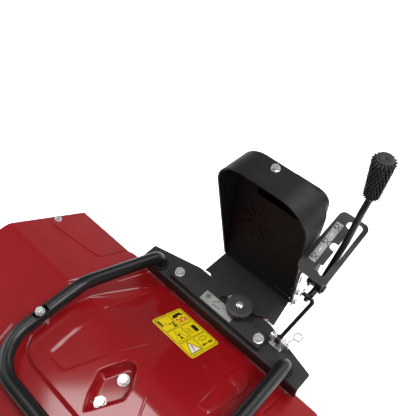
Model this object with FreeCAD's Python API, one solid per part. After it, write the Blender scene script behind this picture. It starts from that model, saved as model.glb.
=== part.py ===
import FreeCAD, Part
import math
import os

from FreeCAD import Vector

# Two-stage snow blower head, millimetres.
# Everything is drawn about the middle of the bracket's top face, with the auger mouth towards -Y,
# and is moved by PLACE when it is saved, so that the skids stand on Z = 0.
PLACE = Vector(0, 124, 410)

# ---------------------------------------------------------------- driving dimensions
sheet = 2.5                    # housing sheet thickness
side_x = 407.0                 # outer face of the side plates
side_thick = 3.0
auger_y, auger_z = -215.0, -200.0
auger_radius = 175.0
housing_radius = 194.0         # outside radius of the curved rear wall
top_z = 68.0                   # flat top of the housing
top_back_y = -182.0            # where the flat top bends down
rear_y, rear_z = -21.0, -43.0  # rear top edge
mouth_y = -445.0
floor_z = -410.0
bottom_z = auger_z - housing_radius

deck_half = 252.0
deck_front_y = -392.0
crown_half, crown_front_y, crown_back_y, crown_height = 212.0, -368.0, -186.0, 6.0
panel_half, panel_front_y, panel_height = 166.0, -314.0, 5.0
pocket_x, pocket_center_y, pocket_floor_z = -6.0, -250.5, 60.0

drum_z = -245.0                # impeller axis
drum_radius = 115.0
drum_front_y, drum_back_y = -110.0, 80.0
impeller_radius = 109.0
shaft_radius = 12.5

bracket_thick = 5.0
bracket_half = 197.0
flange_y = -28.0
flange_bottom_z = -33.5

tube_radius, tube_wall = 12.5, 2.0
tube_top_z = 98.0
tube_leg_x, tube_root_x = 177.0, 157.5
tube_front_y = -354.0
tube_bolt_y = -255.0

chute_x, chute_y = 5.0, 150.0  # swivel axis of the chute
plate_low, plate_high = 1.0, 6.0
knob_x, knob_y = 30.0, 14.0

hood_foot_y, hood_foot_z = 92.4, 8.6
hood_foot_half, hood_top_half, hood_height, hood_corner = 84.3, 92.7, 286.0, 57.0
hood_lean = 4.4                # the mouth leans forward by this many degrees
hood_back = [(96.0, 8.6), (129.5, 200.0), (131.5, 300.0)]   # outer face of the back wall
hood_tail_y, hood_tail_drop = 160.0, 7.5
hood_wall = 3.0

duct_half, duct_back_y, duct_wall = 52.0, 200.0, 2.5
head_x, head_width, head_back_y, head_low, head_top = 2.0, 78.0, 160.0, 206.0, 256.0
spigot_radius = 47.0

gate_point = Vector(135.5, 134.5, 208.0)
gate_tilt = 21.0
gate_thick = 4.0
lever_x, lever_radius = 135.0, 5.4
pivot = Vector(lever_x, 83.0, 138.0)
lever_end = Vector(lever_x, 55.0, 137.0)
grip_low, grip_high = 292.0, 372.0
grip_y = 168.0
link_foot = Vector(121.0, 16.0, 19.0)
link_radius = 3.5

strap_bolt_spots = [(94.0, 22.0), (96.0, 54.0)]
scraper_bolt_x = (-300, -100, 100, 300)
pocket_bolt_y = (pocket_center_y - 25, pocket_center_y + 23)
hood_bolt_axis = Vector(0, 0.0837, 0.9965)
hood_bolt_seat = Vector(-3.0, 116.0, 289.85)

saved = []


# ---------------------------------------------------------------- helpers
def v(x, y, z):
    return Vector(x, y, z)


def save(name, *solids):
    shape = solids[0] if len(solids) == 1 else Part.makeCompound(list(solids))
    shape = shape.copy()
    shape.translate(PLACE)
    shape.exportStep("parts/" + name + ".step")
    saved.append(name)


def rounded_wire(points, radius, closed=False):
    """Straight runs through the points, joined by tangent arcs."""
    count = len(points)
    inner = range(count) if closed else range(1, count - 1)
    corners = [] if closed else [(points[0], None, points[0])]
    for i in inner:
        here = points[i]
        back = (points[i - 1] - here).normalize()
        ahead = (points[(i + 1) % count] - here).normalize()
        size = radius[i] if isinstance(radius, (list, tuple)) else radius
        turn = back.getAngle(ahead)
        if size <= 0:
            corners.append((here, None, here))
            continue
        reach = size / math.tan(turn / 2)
        middle = (back + ahead).normalize() * (size / math.sin(turn / 2) - size)
        corners.append((here + back * reach, here + middle, here + ahead * reach))
    if not closed:
        corners.append((points[-1], None, points[-1]))
    edges = []
    for i, (start, middle, end) in enumerate(corners):
        if middle is not None:
            edges.append(Part.Arc(start, middle, end).toShape())
        if closed or i < len(corners) - 1:
            following = corners[(i + 1) % len(corners)][0]
            if (following - end).Length > 1e-6:
                edges.append(Part.LineSegment(end, following).toShape())
    return Part.Wire(edges)


def prism(points, radius, direction):
    return Part.Face(rounded_wire(points, radius, closed=True)).extrude(direction)


def plate(outline, radius, low, high):
    """Flat plate from an XY outline."""
    return prism([v(x, y, low) for x, y in outline], radius, v(0, 0, high - low))


def slab(outline, radius, x_low, x_high):
    """Flat plate from a YZ outline."""
    return prism([v(x_low, y, z) for y, z in outline], radius, v(x_high - x_low, 0, 0))


def bent_sheet(path, radius, thickness, x_low, x_high):
    """Sheet bent along a YZ path and extruded along X."""
    wire = rounded_wire([v(x_low, y, z) for y, z in path], radius)
    face = wire.makeOffset2D(thickness, join=0, fill=True, openResult=True)
    return face.extrude(v(x_high - x_low, 0, 0))


def box(low, high):
    size = high - low
    return Part.makeBox(size.x, size.y, size.z, low)


def rod(start, end, radius):
    return Part.makeCylinder(radius, (end - start).Length, start, end - start)


def ring(start, end, outer, inner):
    return rod(start, end, outer).cut(rod(start, end, inner))


def swept(points, bends, radius):
    """Round bar along a route of straight runs and arcs."""
    spine = rounded_wire(points, bends)
    circle = Part.Circle(points[0], points[1] - points[0], radius).toShape()
    return spine.makePipeShell([Part.Wire([circle])], True, True)


def hexagon(center, axis, across_flats, height):
    corner = across_flats / math.sqrt(3)
    points = [v(corner * math.cos(k * math.pi / 3), corner * math.sin(k * math.pi / 3), 0) for k in range(7)]
    solid = Part.Face(Part.makePolygon(points)).extrude(v(0, 0, height))
    solid.Placement = FreeCAD.Placement(center, FreeCAD.Rotation(v(0, 0, 1), axis))
    return solid


def bolt(seat, axis, size, length, washer=True):
    """Hex bolt whose head stands on the seat and points along the axis."""
    axis = v(axis.x, axis.y, axis.z).normalize()
    washer_thick = 0.16 * size if washer else 0
    head_seat = seat + axis * washer_thick
    body = hexagon(head_seat, axis, 1.65 * size, 0.62 * size)
    crown = Part.makeCone(1.05 * size, 0.72 * size, 0.66 * size, head_seat, axis)
    body = body.common(crown.fuse(rod(head_seat, head_seat + axis * 0.4 * size, 1.05 * size)))
    body = body.fuse(rod(seat - axis * length, head_seat, size / 2))
    if washer:
        body = body.fuse(rod(seat, head_seat, size))
    return body


def nut(seat, axis, size):
    axis = v(axis.x, axis.y, axis.z).normalize()
    solid = hexagon(seat, axis, 1.65 * size, 0.8 * size)
    return solid.cut(rod(seat - axis, seat + axis * size, size / 2 + 0.05))


def mirrored(solid):
    return solid.mirror(v(0, 0, 0), v(1, 0, 0))


def on_gate(u, s, h=0.0):
    """Point on the gate plate: u across, s up the slope, h above its top face."""
    a = math.radians(gate_tilt)
    return gate_point + v(u, s * math.cos(a) - h * math.sin(a), s * math.sin(a) + h * math.cos(a))


# ---------------------------------------------------------------- housing
housing_path = [(mouth_y, top_z - 2), (top_back_y, top_z), (rear_y, rear_z), (rear_y, bottom_z),
                (auger_y - 35, bottom_z)]
housing_bends = [0, 25, 6, housing_radius, 0]


def make_housing_shell():
    shell = bent_sheet(housing_path, housing_bends, sheet, -side_x + side_thick, side_x - side_thick)
    shell = shell.cut(rod(v(0, -150, drum_z), v(0, 0, drum_z), drum_radius + sheet))
    for x in scraper_bolt_x:
        shell = shell.cut(rod(v(x, auger_y - 22, bottom_z - 8), v(x, auger_y - 22, bottom_z + 8), 4.2))
    pocket_gap = box(v(pocket_x - 42, pocket_center_y - 58, 0), v(pocket_x + 42, pocket_center_y + 56, top_z + 5))
    for side in (-1, 1):
        corners = [(384, -110), (262, -91), (256, -84), (256, -24), (384, -24)]
        wing = prism([on_ramp(side * x, y, -0.8) for x, y in corners], 4, ramp_normal() * 2.0)
        shell = shell.fuse(wing)
    return shell.cut(pocket_gap).removeSplitter()


def ramp_normal():
    run = v(0, top_back_y - rear_y, top_z - rear_z).normalize()
    return v(0, run.z, -run.y)


def make_side_plate():
    back = rounded_wire([v(side_x - side_thick, y, z) for y, z in housing_path], housing_bends)
    front = [(auger_y - 35, bottom_z), (-395, bottom_z), (-455, -190), (-455, top_z - 12),
             (mouth_y, top_z - 2)]
    edge = rounded_wire([v(side_x - side_thick, y, z) for y, z in front], [0, 30, 60, 8, 0])
    blank = Part.Face(Part.Wire(back.Edges + edge.Edges)).extrude(v(side_thick, 0, 0))
    hole = rod(v(side_x - 10, auger_y, auger_z), v(side_x + 10, auger_y, auger_z), 17.0)
    normal = ramp_normal()
    low = v(0, -60, rear_z + (rear_y + 60) * (top_z - rear_z) / (rear_y - top_back_y)) - normal * sheet
    high = v(0, -150, rear_z + (rear_y + 150) * (top_z - rear_z) / (rear_y - top_back_y)) - normal * sheet
    tab = prism([v(side_x - 32, p.y, p.z) for p in (low, high, high - normal * 3, low - normal * 3)],
                0, v(32 - side_thick, 0, 0))
    return blank.cut(hole).fuse(tab)


def on_ramp(x, y, lift=0.0):
    z = rear_z + (rear_y - y) * (top_z - rear_z) / (rear_y - top_back_y)
    return v(x, y, z) + ramp_normal() * lift


def make_deck_panel():
    overhang = on_ramp(0, rear_y + 2.5)
    front_fall = 2 * (top_back_y - deck_front_y) / (top_back_y - mouth_y)
    path = [(overhang.y, overhang.z), (top_back_y, top_z), (deck_front_y, top_z - front_fall)]
    sheet_part = bent_sheet(path, [0, 25, 0], sheet, -deck_half, deck_half)
    corner = 16
    outline = [(-deck_half, deck_front_y), (deck_half, deck_front_y), (deck_half, rear_y + 4),
               (-deck_half, rear_y + 4)]
    sheet_part = sheet_part.common(plate(outline, [60, 60, corner, corner], -80, 120))
    base = top_z - 2.2
    crown = plate([(-crown_half, crown_front_y), (crown_half, crown_front_y),
                   (crown_half, crown_back_y), (-crown_half, crown_back_y)],
                  [45, 45, 8, 8], base + sheet, top_z + sheet + crown_height)
    panel_top = top_z + sheet + crown_height + panel_height
    panel = plate([(-panel_half, panel_front_y), (panel_half, panel_front_y),
                   (panel_half, crown_back_y), (-panel_half, crown_back_y)],
                  [40, 40, 5, 5], base + sheet, panel_top)
    panel = panel.makeFillet(3, [e for e in panel.Edges if abs(e.CenterOfMass.z - panel_top) < 0.01])
    whole = sheet_part.fuse(crown).fuse(panel)
    outline = [(-31, 2), (-10, -48), (10, -48), (31, 2), (12, 47), (-12, 47)]
    outline = [(x, pocket_center_y + y) for x, y in outline]
    grown = [(pocket_x + x * 1.08, pocket_center_y + (y - pocket_center_y) * 1.05) for x, y in outline]
    outline = [(pocket_x + x, y) for x, y in outline]
    cup = plate(grown, 9, pocket_floor_z - sheet, base + sheet + 1)
    return whole.fuse(cup).cut(plate(outline, 8, pocket_floor_z, 120))


def make_scraper():
    bar = box(v(-380, auger_y - 55, bottom_z - 6), v(380, auger_y - 5, bottom_z))
    for x in scraper_bolt_x:
        bar = bar.cut(rod(v(x, auger_y - 22, bottom_z - 8), v(x, auger_y - 22, bottom_z + 2), 4.2))
    return bar


def make_skid():
    wall = slab([(-402, floor_z + 12), (-390, floor_z), (-250, floor_z), (-238, floor_z + 12),
                 (-262, -318), (-378, -318)], [8, 12, 12, 8, 14, 14], side_x, side_x + 5)
    foot = slab([(-402, floor_z + 11), (-390, floor_z), (-250, floor_z), (-238, floor_z + 11),
                 (-242, floor_z + 14), (-252, floor_z + 5), (-388, floor_z + 5), (-398, floor_z + 14)],
                [0, 12, 12, 0, 0, 8, 8, 0], side_x - 24, side_x + 5)
    shoe = wall.fuse(foot)
    for y in (-355, -285):
        slot = plate([(-5, -14), (5, -14), (5, 14), (-5, 14)], 4.9, -10, 10)
        slot.Placement = FreeCAD.Placement(v(side_x + 2, y, -352), FreeCAD.Rotation(v(0, 1, 0), 90))
        slot.rotate(v(side_x + 2, y, -352), v(1, 0, 0), 90)
        shoe = shoe.cut(slot)
    return shoe


# ---------------------------------------------------------------- first stage: auger
def make_flight():
    """Right-hand half of the auger ribbon with its hub tube and spokes."""
    start, length, pitch = 62.0, 330.0, 240.0
    outer = Part.makeHelix(pitch, length - 4, auger_radius)
    inner = Part.makeHelix(pitch, length - 4, auger_radius - 42)
    ribbon = Part.makeRuledSurface(outer.Edges[0], inner.Edges[0]).extrude(v(0, 0, 4))
    tube = ring(v(0, 0, -6), v(0, 0, length - 2), 17.0, 10.05)
    flight = tube.fuse(ribbon)
    for along in (10.0, 120.0, 240.0, 320.0):
        angle = 360.0 * along / pitch
        spoke = box(v(15, -9, along - 3), v(auger_radius - 25, 9, along + 4))
        spoke.rotate(v(0, 0, 0), v(0, 0, 1), angle)
        flight = flight.fuse(spoke)
    flight = flight.cut(rod(v(-40, 0, 12), v(40, 0, 12), 3.0))
    flight = flight.cut(rod(v(0, 0, -8), v(0, 0, length), 10.05))
    flight.rotate(v(0, 0, 0), v(0, 1, 0), 90)
    flight.translate(v(start, auger_y, auger_z))
    return flight


def make_auger_axle():
    axle = rod(v(-side_x - 5, auger_y, auger_z), v(side_x + 5, auger_y, auger_z), 10.0)
    for x in (74, -74):
        axle = axle.cut(rod(v(x, auger_y, auger_z - 20), v(x, auger_y, auger_z + 20), 3.0))
    return axle


def make_shear_bolts():
    bolts = []
    for x in (74, -74):
        shank = rod(v(x, auger_y, auger_z - 23), v(x, auger_y, auger_z + 17), 2.95)
        head = hexagon(v(x, auger_y, auger_z + 17), v(0, 0, 1), 10, 4)
        bolts.append(shank.fuse(head))
    return bolts


def make_bushing():
    flange = rod(v(side_x, auger_y, auger_z), v(side_x + 4, auger_y, auger_z), 30.0)
    barrel = rod(v(side_x - 14, auger_y, auger_z), v(side_x, auger_y, auger_z), 16.9)
    bush = flange.fuse(barrel)
    bush = bush.cut(rod(v(side_x - 20, auger_y, auger_z), v(side_x + 20, auger_y, auger_z), 10.05))
    return bush


def make_worm_wheel():
    teeth, tip, root = 20, 32.5, 28.5
    points = []
    for k in range(teeth):
        middle = 2 * math.pi * k / teeth
        for shift, radius in ((-0.11, root), (-0.06, tip), (0.06, tip), (0.11, root)):
            points.append(v(-8, radius * math.cos(middle + shift), radius * math.sin(middle + shift)))
    points.append(points[0])
    wheel = Part.Face(Part.makePolygon(points)).extrude(v(16, 0, 0))
    wheel = wheel.fuse(rod(v(-16, 0, 0), v(16, 0, 0), 17))
    wheel = wheel.cut(rod(v(-20, 0, 0), v(20, 0, 0), 10.02))
    wheel.translate(v(0, auger_y, auger_z))
    return wheel


def make_gearbox():
    across = rod(v(-24, auger_y, auger_z), v(24, auger_y, auger_z), 42)
    necks = rod(v(-52, auger_y, auger_z), v(52, auger_y, auger_z), 22)
    along = rod(v(0, auger_y - 45, drum_z), v(0, -120, drum_z), 25)
    case = across.fuse(necks).fuse(along)
    case = case.cut(rod(v(-19, auger_y, auger_z), v(19, auger_y, auger_z), 36))
    case = case.cut(rod(v(-60, auger_y, auger_z), v(60, auger_y, auger_z), 10.05))
    case = case.cut(rod(v(0, auger_y - 37, drum_z), v(0, -130, drum_z), 18))
    case = case.cut(rod(v(0, auger_y - 40, drum_z), v(0, -140, drum_z), 10.05))
    case = case.cut(rod(v(0, -140, drum_z), v(0, -110, drum_z), shaft_radius + 0.05))
    foot = box(v(-20, auger_y - 30, auger_z + 34), v(20, auger_y + 30, auger_z + 46))
    return case.fuse(foot.cut(rod(v(-60, auger_y, auger_z), v(60, auger_y, auger_z), 40)))


def make_steady():
    """Strut that hangs the gearbox from the pocket in the deck."""
    low = auger_z + 46
    web = slab([(auger_y - 30, low), (auger_y + 30, low), (pocket_center_y + 45, pocket_floor_z - 8),
                (pocket_center_y - 45, pocket_floor_z - 8)], 0, -3, 3)
    foot = box(v(-20, auger_y - 30, low), v(20, auger_y + 30, low + 6))
    head = box(v(pocket_x - 24, pocket_center_y - 46, pocket_floor_z - 8),
               v(pocket_x + 24, pocket_center_y + 46, pocket_floor_z - sheet))
    steady = web.fuse(foot).fuse(head)
    for y in pocket_bolt_y:
        steady = steady.cut(rod(v(pocket_x, y, pocket_floor_z - 40), v(pocket_x, y, pocket_floor_z), 5.1))
        steady = steady.cut(box(v(pocket_x - 12, y - 12, pocket_floor_z - 24),
                                v(pocket_x + 12, y + 12, pocket_floor_z - 8)))
    return steady


# ---------------------------------------------------------------- second stage: impeller
def make_drum():
    wall = ring(v(0, drum_front_y, drum_z), v(0, drum_back_y, drum_z), drum_radius + sheet, drum_radius)
    inside = Part.Face(Part.Wire(rounded_wire([v(-200, y, z) for y, z in housing_path], housing_bends).Edges
                                 + [Part.LineSegment(v(-200, auger_y - 35, bottom_z),
                                                     v(-200, mouth_y, top_z - 2)).toShape()]))
    wall = wall.cut(inside.extrude(v(400, 0, 0)))
    back = rod(v(0, drum_back_y - 3, drum_z), v(0, drum_back_y, drum_z), drum_radius)
    back = back.cut(rod(v(0, 60, drum_z), v(0, 90, drum_z), 27))
    mouth = box(v(chute_x - 40, 2, drum_z + 80), v(chute_x + 40, 66, drum_z + 130))
    return wall.fuse(back).cut(mouth)


def make_neck():
    def loft(grow, low_extra):
        low = drum_z + 96 - low_extra
        square = rounded_wire([v(chute_x - 40 - grow, 2 - grow, low), v(chute_x + 40 + grow, 2 - grow, low),
                               v(chute_x + 40 + grow, 66 + grow, low), v(chute_x - 40 - grow, 66 + grow, low)],
                              12, closed=True)
        middle = Part.Wire([Part.Circle(v(chute_x, 95, -96), v(0, 0.5, 1), 44 + grow).toShape()])
        top = Part.Wire([Part.Circle(v(chute_x, chute_y, -56), v(0, 0, 1), 49 + grow).toShape()])
        return Part.makeLoft([square, middle, top], True, False)
    pipe = loft(2.5, 0).cut(loft(0, 0.1))
    pipe = pipe.cut(rod(v(0, -30, drum_z), v(0, drum_back_y, drum_z), drum_radius + sheet))
    collar = ring(v(chute_x, chute_y, -56), v(chute_x, chute_y, -17), 51.5, 49)
    lip = ring(v(chute_x, chute_y, -20), v(chute_x, chute_y, -17), 57, 49)
    return pipe.fuse(collar).fuse(lip)


def make_impeller():
    y_low, y_high = 8.0, 68.0
    hub = rod(v(0, y_low - 4, 0), v(0, y_high + 2, 0), 22)
    disc = rod(v(0, y_high - 3, 0), v(0, y_high, 0), 70)
    wheel = hub.fuse(disc)
    for k in range(4):
        blade = box(v(15, y_low, -2.5), v(impeller_radius - 12, y_high, 2.5))
        tip = box(v(impeller_radius - 16, y_low, -2.5), v(impeller_radius - 3, y_high, 2.5))
        tip.rotate(v(impeller_radius - 14, 0, 0), v(0, 1, 0), -25)
        blade = blade.fuse(tip)
        blade.rotate(v(0, 0, 0), v(0, 1, 0), 90 * k)
        wheel = wheel.fuse(blade)
    wheel = wheel.cut(rod(v(0, -10, 0), v(0, 90, 0), shaft_radius + 0.02))
    wheel.translate(v(0, 0, drum_z))
    return wheel


def make_worm():
    y_low, y_high = auger_y - 26, auger_y + 26
    worm = rod(v(0, y_low, drum_z), v(0, y_high, drum_z), 12.0)
    return worm


def make_impeller_shaft():
    shaft = rod(v(0, auger_y - 39.5, drum_z), v(0, auger_y - 26, drum_z), 10.0)
    shaft = shaft.fuse(rod(v(0, auger_y - 26, drum_z), v(0, auger_y + 26, drum_z), 8.0))
    shaft = shaft.fuse(rod(v(0, auger_y + 26, drum_z), v(0, 165, drum_z), shaft_radius))
    return shaft


def make_coupling():
    """Three-jaw dog hub on the input end of the shaft."""
    hub = rod(v(0, 120, drum_z), v(0, 150, drum_z), 32)
    hub = hub.fuse(rod(v(0, 150, drum_z), v(0, 168, drum_z), 32))
    gap = Part.makeCylinder(40, 18.1, v(0, 150, drum_z), v(0, 1, 0), 60)
    for k in range(3):
        tooth_gap = gap.copy()
        tooth_gap.rotate(v(0, 150, drum_z), v(0, 1, 0), 120 * k)
        hub = hub.cut(tooth_gap)
    hub = hub.cut(rod(v(0, 150, drum_z), v(0, 170, drum_z), 16))
    return hub.cut(rod(v(0, 110, drum_z), v(0, 170, drum_z), shaft_radius + 0.02))


def make_carrier_flange():
    half = 85
    outline = [(-half, drum_z - half), (half, drum_z - half), (half, drum_z + half), (-half, drum_z + half)]
    flange = prism([v(x, drum_back_y, z) for x, z in outline], 22, v(0, 8, 0))
    flange = flange.cut(rod(v(0, 70, drum_z), v(0, 100, drum_z), 26))
    for x in (-60, 60):
        for z in (-60, 60):
            flange = flange.cut(rod(v(x, 70, drum_z + z), v(x, 100, drum_z + z), 5.5))
    return flange


def make_rear_bearing():
    bearing = ring(v(0, 82, drum_z), v(0, 98, drum_z), 25.9, shaft_radius + 0.03)
    cap = ring(v(0, 88, drum_z), v(0, 94, drum_z), 38, 25.9)
    return bearing.fuse(cap)


# ---------------------------------------------------------------- bracket, tube and clamp
def make_bracket():
    outline = [(-bracket_half, flange_y), (bracket_half, flange_y), (bracket_half, 10), (91, 36),
               (-91, 36), (-bracket_half, 10)]
    top = plate(outline, [0, 0, 3, 20, 20, 3], -bracket_thick, 0)
    lip = box(v(-bracket_half, flange_y, flange_bottom_z), v(bracket_half, flange_y + 5, -bracket_thick))
    bracket = top.fuse(lip).removeSplitter()
    edge = [e for e in bracket.Edges if abs(e.CenterOfMass.y - flange_y) < 0.01 and abs(e.CenterOfMass.z) < 0.01]
    bracket = bracket.makeFillet(3.5, edge)
    for x in (-tube_root_x, tube_root_x):
        bracket = bracket.cut(rod(v(x, -12, -10), v(x, -12, 5), tube_radius + 0.6))
    return bracket.cut(rod(v(knob_x, knob_y, -10), v(knob_x, knob_y, 5), 5.0))


def make_stays():
    stays = []
    for x in (-137, -80, 75, 132):
        stays.append(slab([(rear_y, -150), (rear_y, -52), (-14, -52), (-14, -bracket_thick),
                           (28, -bracket_thick), (28, -18)], 0, x, x + 5))
    return stays


def make_guard_tube():
    def leg(side):
        return [v(side * tube_root_x, -12, -bracket_thick), v(side * (tube_root_x + 1), -13, 24),
                v(side * (tube_leg_x - 4), -170, tube_top_z), v(side * tube_leg_x, tube_front_y, tube_top_z)]
    points = leg(1) + leg(-1)[::-1]
    bends = [0, 22, 70, 68, 68, 70, 22, 0]
    outer = swept(points, bends, tube_radius)
    inner = swept(points, bends, tube_radius - tube_wall)
    tube = outer.cut(inner)
    for x in (-tube_leg_x + 0.8, tube_leg_x - 0.8):
        tube = tube.cut(rod(v(x, tube_bolt_y, 60), v(x, tube_bolt_y, 120), 4.2))
        tube = tube.cut(box(v(x - 20, tube_bolt_y - 13, tube_top_z + 8), v(x + 20, tube_bolt_y + 13, 130)))
    return tube


def make_tube_spacers():
    spacers = []
    low = top_z + sheet + crown_height
    for side in (-1, 1):
        x = side * (tube_leg_x - 0.8)
        spacer = ring(v(x, tube_bolt_y, low), v(x, tube_bolt_y, tube_top_z), 9, 4.2)
        saddle = rod(v(side * (tube_leg_x - 4), -170, tube_top_z),
                     v(side * tube_leg_x, tube_front_y, tube_top_z), tube_radius + 0.2)
        spacers.append(spacer.cut(saddle))
    return spacers


def make_clamp_bar():
    low_x, high_x = -118, 104
    top = plate([(low_x, -21), (high_x, -21), (high_x, 5.5), (low_x, 5.5)], [0, 0, 3, 3], 8, 14)
    lip = box(v(low_x, -21, 0), v(high_x, -17, 8))
    feet = [box(v(low_x, -17, 0), v(low_x + 22, 5.5, 8)), box(v(high_x - 22, -17, 0), v(high_x, 5.5, 8))]
    bar = top.fuse([lip] + feet).removeSplitter()
    for x in (-107, 93):
        bar = bar.cut(rod(v(x, -6, -5), v(x, -6, 20), 5.1))
    return bar.cut(rod(v(knob_x, knob_y, 5), v(knob_x, knob_y, 20), 11))


def make_clevis():
    base = box(v(108, 6, 0), v(134, 27, 3))
    ear = slab([(8, 3), (25, 3), (25, 22), (22, 29), (10, 29), (8, 22)], [0, 0, 4, 4, 4, 4], 108, 111)
    clevis = base.fuse(ear)
    ear.translate(v(23, 0, 0))
    clevis = clevis.fuse(ear)
    return clevis.cut(rod(v(100, link_foot.y, link_foot.z), v(140, link_foot.y, link_foot.z), 4.1))


def make_clevis_pin():
    head = rod(v(105, link_foot.y, link_foot.z), v(108, link_foot.y, link_foot.z), 7)
    shank = rod(v(108, link_foot.y, link_foot.z), v(144, link_foot.y, link_foot.z), 4)
    cross = rod(v(139, link_foot.y, link_foot.z - 10), v(139, link_foot.y, link_foot.z + 10), 1.2)
    return head.fuse(shank).cut(cross)


def make_r_clip():
    y, z, wire = link_foot.y, link_foot.z, 1.0
    loop_center, loop = v(144, y + 26, z + 2), 7.5
    circle = Part.Face(Part.Wire([Part.Circle(loop_center + v(loop, 0, 0), v(0, 1, 0), wire).toShape()]))
    ring_part = circle.revolve(loop_center, v(0, 0, 1), 360)
    points = [v(139, y, z - 9), v(139, y, z + 11), v(139, y + 9, z + 5), v(141, y + 19.2, z + 2)]
    return swept(points, [0, 3, 4, 0], wire).fuse(ring_part)


# ---------------------------------------------------------------- swivelling chute
def hood_wire(y, z, lean, foot_half, top_half, height, corner, foot_corner=4):
    """Rounded outline with a flat foot, in a plane that leans towards -Y."""
    a = math.radians(lean)
    flat = [(-foot_half, 0), (foot_half, 0), (top_half, height), (-top_half, height)]
    points = [v(chute_x + u, y - w * math.sin(a), z + w * math.cos(a)) for u, w in flat]
    return rounded_wire(points, [foot_corner, foot_corner, corner, corner], closed=True)


def hood_tunnel(inset, reach):
    """Space inside the hood's outline, carried through to a plane behind the back wall."""
    front = hood_wire(hood_foot_y - reach, hood_foot_z + inset, hood_lean, hood_foot_half - inset,
                      hood_top_half - inset, hood_height - 2 * inset, hood_corner - inset)
    back = hood_wire(hood_tail_y, hood_foot_z + inset, 0, hood_foot_half - 2 - inset,
                     hood_top_half - 3.5 - inset, hood_height - hood_tail_drop - 2 * inset,
                     hood_corner - 5 - inset)
    return Part.makeLoft([front, back], True, True)


def ahead_of_back(shift):
    """Everything in front of the back wall's outer face, moved by a distance along Y."""
    (y0, z0), (y1, z1), (y2, z2) = hood_back
    start_y = y0 - (y1 - y0) / (z1 - z0) * (z0 + 40)
    points = [(start_y + shift, -40), (y1 + shift, z1), (y2 + shift, z2), (y2 + shift, 340), (-60, 340),
              (-60, -40)]
    return slab(points, 0, -200, 200)


def back_face_y(z):
    (y0, z0), (y1, z1), (y2, z2) = hood_back
    if z < z1:
        return y0 + (y1 - y0) * (z - z0) / (z1 - z0)
    return y1 + (y2 - y1) * (z - z1) / (z2 - z1)


def inlet_window():
    return box(v(chute_x - 45, 90, 196), v(chute_x + 45, 150, 230))


def make_hood():
    outer = hood_tunnel(0, 0).common(ahead_of_back(0))
    inner = hood_tunnel(hood_wall, 8).common(ahead_of_back(-hood_wall))
    hood = outer.cut(inner).cut(inlet_window())
    hub_x, hub_z = -24, 141
    lean = math.degrees(math.atan2(hood_back[1][0] - hood_back[0][0], hood_back[1][1] - hood_back[0][1]))
    for k in range(8):
        groove = prism([v(-1.7, -1, 13), v(1.7, -1, 13), v(2.6, -1, 40), v(-2.6, -1, 40)],
                       [1.5, 1.5, 2.4, 2.4], v(0, 2.2, 0))
        groove.rotate(v(0, 0, 0), v(0, 1, 0), 45 * k + 10)
        groove.rotate(v(0, 0, 0), v(1, 0, 0), -lean)
        groove.translate(v(hub_x, back_face_y(hub_z) - hood_wall, hub_z))
        hood = hood.cut(groove)
    for y, z in strap_bolt_spots:
        hood = hood.cut(rod(v(chute_x + 40, y, z), v(chute_x + 120, y, z), 3.05))
    crest = hood_bolt_seat + hood_bolt_axis * 12
    hood = hood.cut(rod(hood_bolt_seat, crest, 9))
    return hood.cut(rod(hood_bolt_seat - hood_bolt_axis * 20, crest, 4.1))


def make_duct():
    gap, low = 0.5, -10.0
    behind = box(v(-200, -50, low), v(200, duct_back_y + 10, 300)).cut(ahead_of_back(gap))
    behind_inside = box(v(-200, -50, low), v(200, duct_back_y + 10, 300)).cut(ahead_of_back(gap + duct_wall))

    def trunk(inset, face):
        top_back, top = head_back_y - 2 - inset, 238 - inset
        outline = [(60, low + inset), (duct_back_y - inset, low + inset), (duct_back_y - inset, 130),
                   (top_back, 200), (top_back, top), (60, top)]
        column = slab(outline, [0, 0, 30, 30, 12 - inset, 0], chute_x - duct_half + inset,
                      chute_x + duct_half - inset)
        left, right = head_x + inset, head_x + head_width - inset
        bottom, roof = head_low + inset, head_top - inset
        head = prism([v(left, 60, bottom), v(right, 60, bottom), v(right, 60, roof), v(left, 60, roof)],
                     [12 - inset, 12 - inset, 24 - inset, 12 - inset], v(0, head_back_y - inset - 60, 0))
        return column.fuse(head).common(face)
    duct = trunk(0, behind).cut(trunk(duct_wall, behind_inside)).cut(inlet_window())
    axis_low, axis_high = v(chute_x, chute_y, -52), v(chute_x, chute_y, low)
    spigot = rod(axis_low, axis_high, spigot_radius)
    flange = rod(v(chute_x, chute_y, -14), axis_high, 56)
    flange = flange.common(box(v(-100, 90, -20), v(100, duct_back_y + 10, 0)))
    duct = duct.fuse(spigot).fuse(flange)
    return duct.cut(rod(axis_low, v(chute_x, chute_y, low + 3), spigot_radius - duct_wall))


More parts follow.
